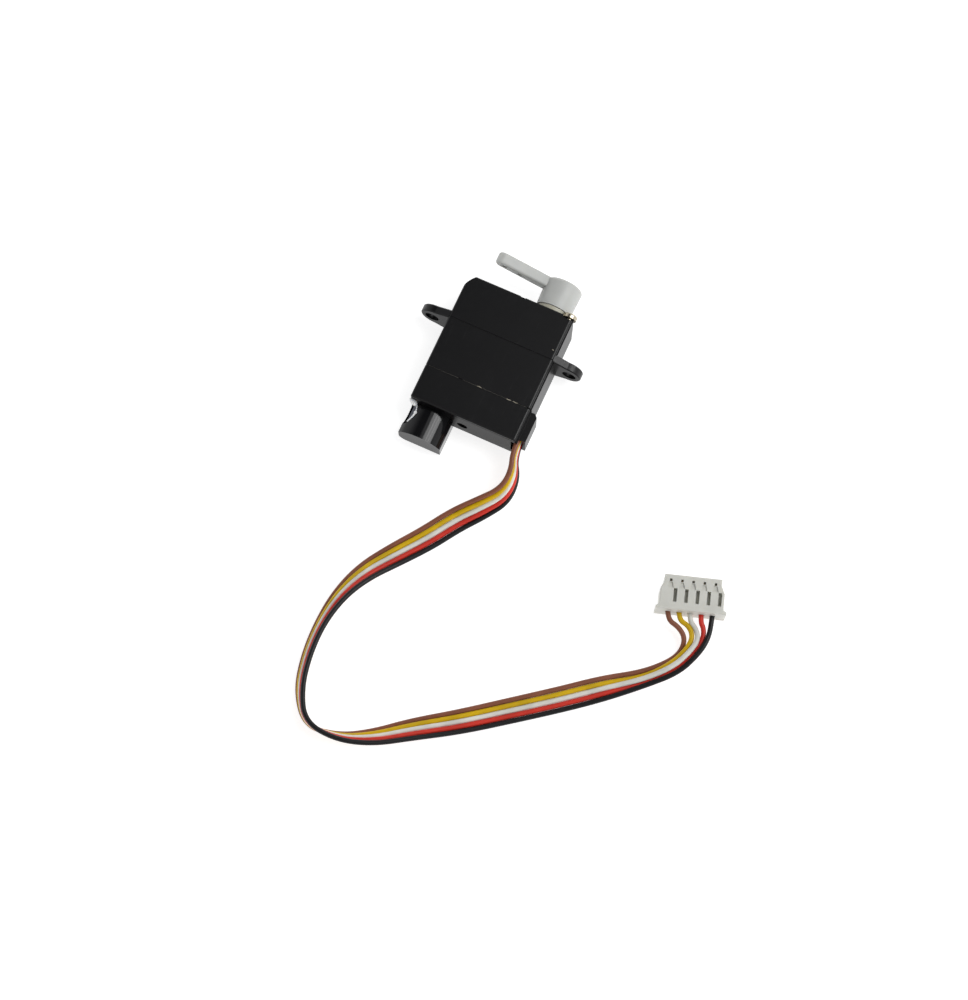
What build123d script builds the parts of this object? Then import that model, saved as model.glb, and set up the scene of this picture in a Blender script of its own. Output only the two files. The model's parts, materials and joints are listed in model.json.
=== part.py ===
from build123d import *
import math
import os

os.makedirs("parts", exist_ok=True)

# A sub-micro five-wire servo lying on its back, in millimetres.
# +X runs along the mounting tabs, +Y up the output axis, +Z out of the front face.
# The origin is on the back face, midway between the tab holes, at the tabs' underside.

# ---- case
CASE_WIDTH = 13.0
CASE_BOTTOM = -10.3
CASE_TOP = 5.75
CASE_DEPTH = 5.0
WALL = 0.45
FRONT_WALL = 0.4
HALF = CASE_WIDTH / 2
MID_Z = 2.55
SEAM_LOW = -6.15
SEAM_HIGH = 0.2
ROOF = 0.5
FLOOR = 0.6
DECK = 0.65
EDGE = 0.28
RIM = 0.12
SEAM_BEVEL = 0.05
LOW_SEAM_BEVEL = 0.08
CORNER_CUT_X = 0.95
CORNER_CUT_Y = 1.5
CORNER_BULGE = 0.07

# ---- mounting tabs
TAB_THICK = 0.95
TAB_REACH = 10.0
TAB_HOLE_X = 8.6
TAB_HOLE_R = 0.85
TAB_LOBE_R = 1.75
TAB_ROOT_Z = 0.15
TAB_EDGE = 0.12

# ---- screw column and screws
SCREW_X = 6.05
SCREW_Z = 4.0
COLUMN_X = 6.95
COLUMN_Z = (1.0, 4.55)
COLUMN_DRAFT = 0.3
HEAD_CUT = (5.3, 5.38, 4.35)
BOSS_X = 5.45
SCREW_R = 0.4
SCREW_POST = 0.8
HEAD_R = 0.82
HEAD_HIGH = 0.55
HEAD_ROUND = 0.22
SCREW_END = -2.8
LOW_SCREW_X = -0.1
LOW_SCREW_Z = 1.95
LOW_HEAD_R = 0.62
LOW_HEAD_DEEP = 1.2
LOW_SCREW_END = -4.6
LOW_POST_Z = (1.15, 2.75)

# ---- output axis, horn and bushing
OUT_X = 3.8
HORN_FOOT = 6.35
HORN_TOP = 9.75
HUB_R_TOP = 2.25
HUB_R_FOOT = 2.13
ARM_THICK = 1.4
ARM_WIDTH = 1.5
ARM_EDGE = 0.3
HUB_EDGE = 0.35
ARM_REACH = 8.5
ARM_REST_DEG = 15.0
LINK_HOLE_R = 0.35
LINK_HOLES = (5.3, 7.3)
HORN_SINK = 0.55
HORN_SINK_R = 0.95
SHAFT_R = 1.0
SHAFT_TOP = 8.55
LOWER_SHAFT_R = 0.42
HORN_SCREW_R = 0.3
BUSH_R = 1.45
BUSH_FLANGE_R = 2.0
BUSH_TOP = 6.3
RUN_GAP = 0.04

# ---- gears: every pair of meshed gears has the same number of teeth in all
MODULE = 0.1
PINION_TEETH = 12
BIG_TEETH = 38
LAST_TEETH = 22
OUTPUT_TEETH = 28
SPACING = 2.54
LEVEL_LOW = 0.42
LEVEL_PITCH = 0.92
FACE = 0.72
AXLE_R = 0.25
AXLE_BORE = 0.275
HUB_R = 0.42

# ---- motor
MOTOR_Z = 1.95
COVER_LENGTH = 3.75
COVER_LEFT = -6.35
COVER_RIGHT = -1.2
COVER_LOW = 0.2
DOME_X = -3.85
DOME_Z = 0.57
DOME_R = 3.1
COVER_WALL = 0.28
COVER_CORNER = 0.9
WINDOW_Y = -11.35
WINDOW_TILT = 139.0
WINDOW_RADII = (1.0, 1.6)
CAN_GAP = 0.36
CAN_WALL = 0.18
CAN_LOW = -12.9
CAN_HIGH = -2.9
CAP_LOW = -13.6
MOTOR_SHAFT_R = 0.25
ARMATURE_R = 0.88
LEAD_WIDE = 0.24
LEAD_THICK = 0.07

# ---- potentiometer and terminal board
POT_R = 1.6
POT_LOW = -2.6
BOARD_X = 5.6
BOARD_THICK = 0.25

# ---- side pocket that the cable leaves by
POCKET_OUT = 7.5
POCKET_WALL = 0.35
POCKET_LOW = -9.75
POCKET_Z = (0.78, 4.22)
POCKET_CHAMFER = 0.35
PAD_X = 6.72

# ---- ribbon cable: brown, yellow, white, red and black, side by side
WIRES = ("brown", "yellow", "white", "red", "black")
WIRE_D = 0.58
WIRE_PITCH = 0.59

# ---- connector housing at the far end
PIN_PITCH = 1.25
PLUG_PLACE = (32.1, -19.65)
PLUG_TURN = 18.0
PLUG_LENGTH = 3.95
PLUG_HIGH = 3.2
FLANGE_WIDE = 7.9
FLANGE_LONG = 0.5
FLARE = 0.22
BODY_WIDE = 7.2
NOSE_WIDE = 6.4
WAIST = 2.3
NOSE_START = 3.2
PLUG_EDGE = 0.1
RIB_HALF = 0.39
RIB_HIGH = 0.16
RIB_END = 2.4
SLOT_START = 0.85
SLOT_WIDE = 0.4
SLOT_DEEP = 0.75
WINDOW_HALF = 0.14
LATCH = (3.15, 3.45)
PLUG_WIRE_Z = 1.6
PLUG_WIRE_IN = 0.7

# Route of the ribbon's middle wire: x, y, z and the ribbon's roll in degrees. Roll 0 lies
# flat with the black wire on the left of the way to the connector, 90 stands on brown.
RIBBON = [
    (6.60, -7.30, 2.50, -90),
    (6.60, -10.90, 2.50, -84),
    (7.75, -13.20, 2.20, -68),
    (7.62, -15.75, 1.70, -52),
    (5.85, -17.95, 1.15, -35),
    (3.71, -20.38, 0.72, -15),
    (1.63, -23.58, 0.47, -5),
    (-0.87, -26.88, 0.52, 8),
    (-3.11, -30.11, 0.89, 28),
    (-4.50, -33.66, 1.25, 48),
    (-5.05, -37.61, 1.40, 62),
    (-4.85, -41.60, 1.43, 66),
    (-3.95, -45.40, 1.45, 70),
    (-1.70, -48.60, 1.50, 86),
    (2.22, -48.45, 1.45, 112),
    (5.72, -46.85, 1.22, 135),
    (9.31, -44.12, 0.86, 155),
    (13.62, -41.22, 0.55, 170),
    (18.57, -37.46, 0.40, 180),
    (23.04, -34.06, 0.40, 184),
    (26.70, -31.10, 0.48, 180),
]

# Near the connector the wires leave the ribbon one by one: each wire's own points.
FAN = {
    "brown": [(29.81, -27.66, 0.36), (32.10, -25.34, 0.47), (32.88, -23.83, 0.76),
              (32.72, -22.35, 1.22), (31.60, -21.50, 1.45), (29.98, -21.23, PLUG_WIRE_Z)],
    "yellow": [(30.24, -28.09, 0.36), (32.45, -25.57, 1.10), (33.34, -23.48, 1.39),
               (33.47, -22.00, 1.62), (32.60, -20.95, 1.60), (31.14, -20.75, PLUG_WIRE_Z)],
    "white": [(30.47, -28.32, 0.97), (32.83, -25.80, 1.59), (33.80, -23.60, 1.82),
              (34.10, -22.00, 1.85), (33.40, -20.90, 1.60), (32.33, -20.36, PLUG_WIRE_Z)],
    "red": [(30.71, -28.56, 0.35), (33.14, -26.03, 0.81), (34.26, -23.60, 1.22),
            (34.56, -21.54, 1.45), (34.15, -20.50, 1.50), (33.52, -19.97, PLUG_WIRE_Z)],
    "black": [(30.97, -28.82, 0.90), (33.55, -26.26, 1.33), (34.72, -23.60, 1.68),
              (35.08, -21.65, 1.80), (34.76, -19.74, PLUG_WIRE_Z)],
}


# ------------------------------------------------------------------ helpers

def block(x, y, z):
    """A box from three (low, high) pairs."""
    size = (x[1] - x[0], y[1] - y[0], z[1] - z[0])
    middle = ((x[0] + x[1]) / 2, (y[0] + y[1]) / 2, (z[0] + z[1]) / 2)
    return Pos(*middle) * Box(*size)


def along_y(sketch, low, high):
    """Extrude a sketch drawn in X and Z from y = low to y = high."""
    plane = Plane((0, high, 0), x_dir=(1, 0, 0), z_dir=(0, -1, 0))
    return extrude(plane * sketch, amount=high - low)


def rod(x, z, radius, low, high):
    """A round bar along Y."""
    return along_y(Pos(x, z) * Circle(radius), low, high)


def tube(x, z, outer, inner, low, high):
    return rod(x, z, outer, low, high) - rod(x, z, inner, low, high)


def outline(points):
    return make_face(Polyline(*points, close=True))


def gear_face(teeth, phase_deg):
    """Straight-sided teeth about the origin; one tooth is centred on phase_deg."""
    pitch_r = MODULE * teeth / 2
    flank = math.tan(math.radians(20)) * MODULE
    half = math.pi * MODULE / 4 * 0.92
    profile = ((pitch_r - 1.15 * MODULE, half + 1.15 * flank), (pitch_r + MODULE, half - flank))
    points = []
    for i in range(teeth):
        middle = math.radians(phase_deg) + 2 * math.pi * i / teeth
        (root_r, root_half), (tip_r, tip_half) = profile
        for radius, offset in ((root_r, -root_half), (tip_r, -tip_half),
                               (tip_r, tip_half), (root_r, root_half)):
            angle = middle + offset / pitch_r
            points.append((radius * math.cos(angle), radius * math.sin(angle)))
    return outline(points)


def level_y(level):
    """Low and high face of one level of the gear train."""
    low = LEVEL_LOW + LEVEL_PITCH * (level - 1)
    return low, low + FACE


def gear_ring(place, teeth, phase_deg, level):
    return along_y(Pos(*place) * gear_face(teeth, phase_deg), *level_y(level))


def heading(start, end):
    return math.degrees(math.atan2(end[1] - start[1], end[0] - start[0]))


def gap_phase(teeth, towards_deg):
    """Phase that puts the gap between two teeth on the line to the neighbour."""
    return towards_deg + 180 / teeth


# ------------------------------------------------------------------ gear axes, as (x, z)

OUT = (OUT_X, MID_Z)
AXLE_B = (OUT_X - SPACING, MID_Z)
AXLE_A = (OUT_X - 2 * SPACING, MID_Z)
MOTOR = (AXLE_A[0] - math.sqrt(SPACING ** 2 - (MID_Z - MOTOR_Z) ** 2), MOTOR_Z)


# ------------------------------------------------------------------ case shells

def case_block(low, high, low_bevel=0.0, high_bevel=0.0):
    """A length of the case with softened long edges and a bevel round either end."""
    sketch = Pos(0, CASE_DEPTH / 2) * Rectangle(CASE_WIDTH, CASE_DEPTH)
    solid = along_y(fillet(sketch.vertices(), EDGE), low, high)
    for y, bevel in ((low, low_bevel), (high, high_bevel)):
        if bevel:
            solid = chamfer(solid.edges().filter_by_position(Axis.Y, y - 0.001, y + 0.001), bevel)
    return solid


def column(inner, low, high):
    """The screw column on the right side, its outer face leaning in towards the front."""
    section = outline([(inner, COLUMN_Z[0]), (COLUMN_X, COLUMN_Z[0]),
                       (COLUMN_X - COLUMN_DRAFT, COLUMN_Z[1]), (inner, COLUMN_Z[1])])
    return along_y(section, low, high)


def tab_face(side):
    """One mounting tab seen along Y: full depth at the case, round at the hole."""
    root = side * (HALF - 0.05)
    lobe = Pos(side * (TAB_REACH - TAB_LOBE_R), MID_Z) * Circle(TAB_LOBE_R)
    x = side * (TAB_REACH - TAB_LOBE_R)
    neck = outline([
        (root, TAB_ROOT_Z), (x, MID_Z - TAB_LOBE_R), (x, MID_Z + TAB_LOBE_R),
        (root, CASE_DEPTH - EDGE / 4),
    ])
    return neck + lobe


def make_top_case():
    solid = case_block(SEAM_HIGH, CASE_TOP, SEAM_BEVEL, RIM)
    # the top left corner is cut back on a shallow curve
    start, end = (-HALF, CASE_TOP - CORNER_CUT_Y), (-HALF + CORNER_CUT_X, CASE_TOP)
    bulge = ((start[0] + end[0]) / 2 - CORNER_BULGE, (start[1] + end[1]) / 2 + CORNER_BULGE)
    curve = ThreePointArc(start, bulge, end)
    beyond = Polyline(end, (end[0], CASE_TOP + 1), (-HALF - 1, CASE_TOP + 1), (-HALF - 1, start[1]), start)
    solid -= extrude(make_face(curve + beyond), amount=CASE_DEPTH)
    cavity = block((-HALF + WALL, HALF - WALL), (SEAM_HIGH, CASE_TOP - ROOF),
                   (WALL, CASE_DEPTH - FRONT_WALL))
    inner_cut = Plane.XY * outline([
        (-HALF, CASE_TOP), (-HALF, CASE_TOP - CORNER_CUT_Y - WALL),
        (-HALF + CORNER_CUT_X + WALL, CASE_TOP),
    ])
    cavity -= extrude(inner_cut, amount=CASE_DEPTH)
    solid -= cavity
    shoulder = Plane.XY * outline([
        (COLUMN_X, CASE_TOP - 1.15), (COLUMN_X - 0.35, CASE_TOP),
        (COLUMN_X - 0.35, CASE_TOP + 1), (COLUMN_X + 1, CASE_TOP + 1), (COLUMN_X + 1, CASE_TOP - 1.15),
    ])
    solid += column(BOSS_X, SEAM_HIGH, CASE_TOP) - extrude(shoulder, amount=CASE_DEPTH)
    # the front corner is cut back beside the screw's head
    cut_x, cut_y, cut_z = HEAD_CUT
    solid -= block((cut_x, HALF + 1), (cut_y, CASE_TOP + 1), (cut_z, CASE_DEPTH + 1))
    for side in (-1, 1):
        tab = along_y(tab_face(side), 0, TAB_THICK)
        outer = tab.edges().filter_by(lambda edge: abs(edge.center().X) > HALF + 0.3)
        tab = chamfer(outer.filter_by_position(Axis.Y, -0.01, 0.01), TAB_EDGE)
        outer = tab.edges().filter_by(lambda edge: abs(edge.center().X) > HALF + 0.3)
        tab = chamfer(outer.filter_by_position(Axis.Y, TAB_THICK - 0.01, TAB_THICK + 0.01), TAB_EDGE)
        solid += tab
        solid -= rod(side * TAB_HOLE_X, MID_Z, TAB_HOLE_R, -1, TAB_THICK + 1)
    # the tabs reach below the joint only outside the case
    solid -= block((-HALF, HALF), (-1, SEAM_HIGH), (-1, CASE_DEPTH + 1))
    solid -= rod(SCREW_X, SCREW_Z, SCREW_R, SEAM_HIGH - 1, CASE_TOP + 1)
    low, high = level_y(5)
    solid -= rod(*OUT, MODULE * (OUTPUT_TEETH / 2 + 1) + 0.12, low - 0.1, high + 0.1)
    solid -= rod(*OUT, BUSH_R, CASE_TOP - ROOF - 0.1, CASE_TOP + 1)
    # posts under the roof that hold the gears' axles
    for axis, level in ((AXLE_A, 4), (AXLE_B, 5)):
        foot = level_y(level)[1] + 0.05
        solid += tube(*axis, HUB_R, AXLE_R, foot, CASE_TOP - ROOF)
        solid -= rod(*axis, AXLE_R, foot, CASE_TOP - ROOF + 0.25)
    # small sprue notch in the front top edge
    solid -= block((0.0, 0.6), (CASE_TOP - 0.25, CASE_TOP + 1), (CASE_DEPTH - 0.3, CASE_DEPTH + 1))
    return solid


def make_mid_case():
    solid = case_block(SEAM_LOW, SEAM_HIGH, LOW_SEAM_BEVEL, SEAM_BEVEL)
    solid -= block((-HALF + WALL, HALF - WALL), (SEAM_LOW, SEAM_HIGH - DECK),
                   (WALL, CASE_DEPTH - FRONT_WALL))
    # screw column: a solid boss above, an outer rib below
    solid += column(BOSS_X, SCREW_END - 0.5, 0)
    solid += column(HALF - WALL, SEAM_LOW, SCREW_END - 0.5)
    solid -= rod(SCREW_X, SCREW_Z, SCREW_R, SCREW_END, SEAM_HIGH + 1)
    # seat for the motor's front and a wall beside the potentiometer
    solid += block((-HALF + WALL, -1.0), (CAN_HIGH, CAN_HIGH + 0.5), (WALL, CASE_DEPTH - FRONT_WALL))
    solid += block((-1.0, -0.6), (CAN_HIGH, SEAM_HIGH - DECK), (WALL, CASE_DEPTH - FRONT_WALL))
    # post for the lower screw
    solid += block((LOW_SCREW_X - SCREW_POST, LOW_SCREW_X + SCREW_POST), (SEAM_LOW, CAN_HIGH), LOW_POST_Z)
    solid -= rod(LOW_SCREW_X, LOW_SCREW_Z, SCREW_R, SEAM_LOW - 1, LOW_SCREW_END)
    solid -= rod(*MOTOR, 0.75, CAN_HIGH, SEAM_HIGH + 1)
    solid -= rod(*OUT, LOWER_SHAFT_R + RUN_GAP, -1, SEAM_HIGH + 1)
    solid += rod(*AXLE_B, HUB_R, SEAM_HIGH, level_y(2)[0] - 0.05)
    for axis in (AXLE_A, AXLE_B):
        solid -= rod(*axis, AXLE_R, -0.2, SEAM_HIGH + 2)
    return solid


def motor_section(inset):
    """The motor's section in X and Z: flat sides and back under a domed front."""
    left, right = COVER_LEFT + inset, COVER_RIGHT - inset
    low, radius = COVER_LOW + inset, DOME_R - inset
    left_z = DOME_Z + math.sqrt(radius ** 2 - (left - DOME_X) ** 2)
    right_z = DOME_Z + math.sqrt(radius ** 2 - (right - DOME_X) ** 2)
    walls = Polyline((left, left_z), (left, low), (right, low), (right, right_z))
    dome = ThreePointArc((right, right_z), (DOME_X, DOME_Z + radius), (left, left_z))
    face = make_face(walls + dome)
    corner = face.vertices().sort_by(Axis.Y)[:2].sort_by(Axis.X)[0]
    return fillet(corner, COVER_CORNER - inset)


def make_bottom_case():
    solid = case_block(CASE_BOTTOM, SEAM_LOW, RIM, LOW_SEAM_BEVEL)
    solid -= block((-HALF + WALL, HALF - WALL), (CASE_BOTTOM + FLOOR, SEAM_LOW),
                   (WALL, CASE_DEPTH - FRONT_WALL))
    # side pocket and the raised pad that it stands on
    solid += block((HALF - WALL, PAD_X), (CASE_BOTTOM, SEAM_LOW), (0.6, 4.5))
    pocket = Plane.XY * outline([
        (HALF - WALL, POCKET_LOW), (POCKET_OUT, POCKET_LOW),
        (POCKET_OUT, SEAM_LOW - POCKET_CHAMFER - 0.1), (POCKET_OUT - POCKET_CHAMFER, SEAM_LOW - 0.1),
        (HALF - WALL, SEAM_LOW - 0.1),
    ])
    solid += Pos(0, 0, POCKET_Z[0]) * extrude(pocket, amount=POCKET_Z[1] - POCKET_Z[0])
    inside_z = (POCKET_Z[0] + 0.18, POCKET_Z[1] - 0.18)
    solid -= block((HALF - WALL - 0.1, POCKET_OUT - POCKET_WALL), (POCKET_LOW - 1, SEAM_LOW - 0.5),
                   inside_z)
    solid -= block((HALF - 0.3, PAD_X + 0.2), (CASE_BOTTOM - 1, SEAM_LOW - 0.5), inside_z)
    # a groove along the lower face, behind the front edge
    solid -= block((COVER_RIGHT + 0.2, HALF + 1), (CASE_BOTTOM - 1, CASE_BOTTOM + 0.08),
                   (CASE_DEPTH - 0.55, CASE_DEPTH - 0.43))
    # a groove along the right side, beside the pad
    solid -= block((HALF - 0.08, HALF + 1), (CASE_BOTTOM - 1, SEAM_LOW + 1),
                   (CASE_DEPTH - 0.6, CASE_DEPTH - 0.48))
    solid -= along_y(motor_section(0), CASE_BOTTOM - 1, SEAM_LOW + 1)
    # recess and hole for the lower screw
    post_x = (LOW_SCREW_X - SCREW_POST, LOW_SCREW_X + SCREW_POST)
    solid += block(post_x, (CASE_BOTTOM + FLOOR, SEAM_LOW), LOW_POST_Z)
    solid -= rod(LOW_SCREW_X, LOW_SCREW_Z, LOW_HEAD_R + 0.03, CASE_BOTTOM - 1, CASE_BOTTOM + LOW_HEAD_DEEP)
    solid -= rod(LOW_SCREW_X, LOW_SCREW_Z, SCREW_R, CASE_BOTTOM, SEAM_LOW + 1)
    return solid


# ------------------------------------------------------------------ motor

def make_motor_cover():
    low = CASE_BOTTOM - COVER_LENGTH
    solid = along_y(motor_section(0), low, CASE_BOTTOM + FLOOR)
    solid -= along_y(motor_section(COVER_WALL), low + COVER_WALL, CASE_BOTTOM + FLOOR + 1)
    # oval window over the can on the left shoulder
    reach = DOME_R + 1
    turned = Pos(DOME_X, WINDOW_Y, DOME_Z) * Rot(0, 90 - WINDOW_TILT, 0)
    return solid - turned * (Pos(0, 0, reach / 2) * extrude(Ellipse(*WINDOW_RADII), amount=reach))


def make_motor_can():
    solid = along_y(motor_section(CAN_GAP), CAN_LOW, CAN_HIGH)
    solid -= along_y(motor_section(CAN_GAP + CAN_WALL), CAN_LOW, CAN_HIGH - CAN_WALL)
    solid += rod(*MOTOR, 0.7, CAN_HIGH, CAN_HIGH + 0.45)
    return solid - rod(*MOTOR, MOTOR_SHAFT_R + 0.03, CAN_HIGH - 1, CAN_HIGH + 1)


def make_motor_end_cap():
    solid = along_y(motor_section(CAN_GAP), CAP_LOW, CAN_LOW)
    return solid - rod(*MOTOR, MOTOR_SHAFT_R + 0.03, CAP_LOW + 0.2, CAN_LOW + 1)


def make_motor_magnets():
    """Two curved magnets against the can's left and right walls."""
    inside = along_y(motor_section(CAN_GAP + CAN_WALL), CAN_LOW + 1.9, CAN_HIGH - 0.9)
    ring = inside - rod(*MOTOR, ARMATURE_R + 0.15, CAN_LOW, CAN_HIGH)
    keep = block((MOTOR[0] - 5, MOTOR[0] - 1.1), (CAN_LOW, CAN_HIGH), (0, CASE_DEPTH))
    keep += block((MOTOR[0] + 1.1, MOTOR[0] + 5), (CAN_LOW, CAN_HIGH), (0, CASE_DEPTH))
    return ring & keep


def make_motor_armature():
    solid = rod(*MOTOR, ARMATURE_R, CAN_LOW + 2.2, CAN_HIGH - 1.2)
    for i in range(3):
        angle = math.radians(90 + 120 * i)
        x = MOTOR[0] + ARMATURE_R * math.cos(angle)
        z = MOTOR[1] + ARMATURE_R * math.sin(angle)
        solid -= rod(x, z, 0.22, CAN_LOW, CAN_HIGH)
    return solid - rod(*MOTOR, MOTOR_SHAFT_R, CAN_LOW, CAN_HIGH)


def make_motor_commutator():
    return tube(*MOTOR, 0.5, MOTOR_SHAFT_R, CAN_LOW + 0.4, CAN_LOW + 1.6)


def make_motor_brushes():
    """Two leaf brushes that bear on the commutator's sides."""
    parts = []
    for side in (-1, 1):
        low_x = MOTOR[0] + side * 0.53
        x = sorted((low_x, low_x + side * 0.12))
        parts.append(block(x, (CAN_LOW, CAN_LOW + 1.4), (MOTOR[1] - 0.25, MOTOR[1] + 0.25)))
    return Compound(children=parts)


def make_motor_shaft():
    return rod(*MOTOR, MOTOR_SHAFT_R, CAP_LOW + 0.3, level_y(1)[1] + 0.05)


def make_motor_leads():
    """Two flat leads from the end cap, up behind the can and across to the board."""
    parts = []
    z = (COVER_LOW + COVER_WALL, COVER_LOW + COVER_WALL + LEAD_THICK)
    for x, y in ((MOTOR[0] - 0.9, CASE_BOTTOM + 1.5), (MOTOR[0] + 0.9, CASE_BOTTOM + 1.1)):
        up = block((x - LEAD_WIDE / 2, x + LEAD_WIDE / 2), (CAP_LOW + 0.1, y), z)
        across = block((x - LEAD_WIDE / 2, BOARD_X), (y - LEAD_WIDE, y), z)
        parts.append(up + across)
    return Compound(children=parts)


# ------------------------------------------------------------------ gears and output

def bore(solid, axis):
    return solid - rod(*axis, AXLE_BORE, SEAM_HIGH - 1, CASE_TOP)


def make_motor_pinion():
    ring = gear_ring(MOTOR, PINION_TEETH, heading(MOTOR, AXLE_A), 1)
    return ring - rod(*MOTOR, MOTOR_SHAFT_R, -1, 2)


def compound_gear(axis, driven_from, drives_to, level, small_teeth=PINION_TEETH):
    """A big gear at one level with a small one above it, as one moulding."""
    solid = gear_ring(axis, BIG_TEETH, gap_phase(BIG_TEETH, heading(axis, driven_from)), level)
    solid += gear_ring(axis, small_teeth, heading(axis, drives_to), level + 1)
    solid += rod(*axis, HUB_R, level_y(level)[0], level_y(level + 1)[1])
    return bore(solid, axis)


def make_output_gear():
    solid = gear_ring(OUT, OUTPUT_TEETH, gap_phase(OUTPUT_TEETH, heading(OUT, AXLE_B)), 5)
    low, high = level_y(5)
    solid += rod(*OUT, SHAFT_R, high, SHAFT_TOP)
    solid += rod(*OUT, LOWER_SHAFT_R, POT_LOW + 0.25, low)
    return solid - rod(*OUT, HORN_SCREW_R, HORN_FOOT, SHAFT_TOP + 1)


def make_output_bushing():
    solid = rod(*OUT, BUSH_R, CASE_TOP - ROOF, CASE_TOP)
    solid += rod(*OUT, BUSH_FLANGE_R, CASE_TOP, BUSH_TOP)
    # the flange is notched for the head of the screw beside it
    solid -= rod(SCREW_X, SCREW_Z, HEAD_R + 0.06, CASE_TOP, BUSH_TOP + 1)
    return solid - rod(*OUT, SHAFT_R + RUN_GAP, CASE_TOP - ROOF - 1, BUSH_TOP + 1)


def make_horn():
    hub = loft([
        Plane((OUT_X, HORN_TOP, MID_Z), x_dir=(1, 0, 0), z_dir=(0, -1, 0)) * Circle(HUB_R_TOP),
        Plane((OUT_X, HORN_FOOT, MID_Z), x_dir=(1, 0, 0), z_dir=(0, -1, 0)) * Circle(HUB_R_FOOT),
    ])
    angle = math.radians(180 - ARM_REST_DEG)
    along = (math.cos(angle), math.sin(angle))
    across = (-along[1], along[0])
    half = ARM_WIDTH / 2
    tip = ARM_REACH - half

    def arm_point(reach, side):
        return (OUT_X + along[0] * reach + across[0] * side, MID_Z + along[1] * reach + across[1] * side)

    sides = Polyline(arm_point(tip, -half), arm_point(0, -half), arm_point(0, half), arm_point(tip, half))
    rounded = ThreePointArc(arm_point(tip, half), arm_point(ARM_REACH, 0), arm_point(tip, -half))
    arm = along_y(make_face(sides + rounded), HORN_TOP - ARM_THICK, HORN_TOP)
    for y in (HORN_TOP - ARM_THICK, HORN_TOP):
        arm = fillet(arm.edges().filter_by_position(Axis.Y, y - 0.001, y + 0.001), ARM_EDGE)
    hub = fillet(hub.edges().filter_by_position(Axis.Y, HORN_TOP - 0.001, HORN_TOP + 0.001), HUB_EDGE)
    solid = hub + arm
    for reach in LINK_HOLES:
        solid -= rod(*arm_point(reach, 0), LINK_HOLE_R, HORN_TOP - 2, HORN_TOP + 1)
    solid -= rod(*OUT, SHAFT_R, HORN_FOOT - 1, SHAFT_TOP)
    solid -= rod(*OUT, 0.35, SHAFT_TOP - 1, HORN_TOP + 1)
    return solid - rod(*OUT, HORN_SINK_R, HORN_TOP - HORN_SINK, HORN_TOP + 1)


def cross_head(x, z, radius, low, high, open_high=True):
    """A round screw head with a cross recess in its outer face."""
    solid = rod(x, z, radius, low, high)
    face = high if open_high else low
    depth = 0.25
    span = (face - depth, face + 1) if open_high else (face - 1, face + depth)
    for turn in (20, 110):
        bar = Pos(x, z) * Rot(0, 0, turn) * Rectangle(radius * 1.3, radius * 0.26)
        solid -= along_y(bar, *span)
    return solid


def make_horn_screw():
    solid = cross_head(*OUT, 0.8, HORN_TOP - HORN_SINK, HORN_TOP - 0.1)
    return solid + rod(*OUT, HORN_SCREW_R, HORN_FOOT + 0.3, HORN_TOP - HORN_SINK)


# ------------------------------------------------------------------ potentiometer and board

def make_pot_body():
    solid = rod(*OUT, POT_R, POT_LOW, SEAM_HIGH - DECK)
    solid -= rod(*OUT, POT_R - 0.3, POT_LOW + 0.35, SEAM_HIGH - DECK - 0.3)
    return solid - rod(*OUT, LOWER_SHAFT_R + RUN_GAP, POT_LOW + 0.2, SEAM_HIGH)


def make_pot_track():
    return tube(*OUT, 1.15, 0.7, POT_LOW + 0.35, POT_LOW + 0.45)


def make_pot_wiper():
    hub = tube(*OUT, 0.62, LOWER_SHAFT_R, POT_LOW + 0.75, POT_LOW + 1.35)
    arm = block((OUT_X + 0.5, OUT_X + 1.15), (POT_LOW + 0.55, POT_LOW + 0.8), (MID_Z - 0.2, MID_Z + 0.2))
    arm += block((OUT_X + 0.5, OUT_X + 0.62), (POT_LOW + 0.75, POT_LOW + 1.1), (MID_Z - 0.2, MID_Z + 0.2))
    return (hub + arm) - rod(*OUT, LOWER_SHAFT_R, POT_LOW, SEAM_HIGH)


def make_pot_terminals():
    parts = []
    x = OUT_X + 1.3
    for i in (-1, 0, 1):
        z = (MID_Z + 0.55 * i - 0.1, MID_Z + 0.55 * i + 0.1)
        leg = block((x - 0.15, x), (-5.8, POT_LOW), z)
        parts.append(leg + block((x - 0.15, BOARD_X), (-5.8, -5.65), z))
    return Compound(children=parts)


def make_terminal_board():
    return block((BOARD_X, BOARD_X + BOARD_THICK), (-9.3, -5.0), (0.47, 4.3))


def wire_z(index):
    """Height of one wire where the ribbon stands on edge at the exit."""
    return RIBBON[0][2] + (2 - index) * WIRE_PITCH


def make_solder_joints():
    parts = []
    start_x, start_y = RIBBON[0][:2]
    for i in range(len(WIRES)):
        z = wire_z(i)
        parts.append(block((BOARD_X + BOARD_THICK, start_x + 0.2), (start_y, start_y + 0.45),
                           (z - 0.2, z + 0.2)))
    return Compound(children=parts)


# ------------------------------------------------------------------ screws

def make_case_screw_top():
    head = cross_head(SCREW_X, SCREW_Z, HEAD_R, CASE_TOP, CASE_TOP + HEAD_HIGH)
    rim = head.edges().filter_by(lambda edge: edge.geom_type == GeomType.CIRCLE)
    rim = rim.filter_by_position(Axis.Y, CASE_TOP + HEAD_HIGH - 0.01, CASE_TOP + HEAD_HIGH + 0.01)
    head = fillet(rim.filter_by(lambda edge: abs(edge.radius - HEAD_R) < 0.01), HEAD_ROUND)
    return head + rod(SCREW_X, SCREW_Z, SCREW_R, SCREW_END, CASE_TOP)


def make_case_screw_bottom():
    high = CASE_BOTTOM + LOW_HEAD_DEEP
    head = cross_head(LOW_SCREW_X, LOW_SCREW_Z, LOW_HEAD_R, high - 0.45, high, open_high=False)
    return head + rod(LOW_SCREW_X, LOW_SCREW_Z, SCREW_R, high, LOW_SCREW_END)


# ------------------------------------------------------------------ ribbon cable

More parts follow.
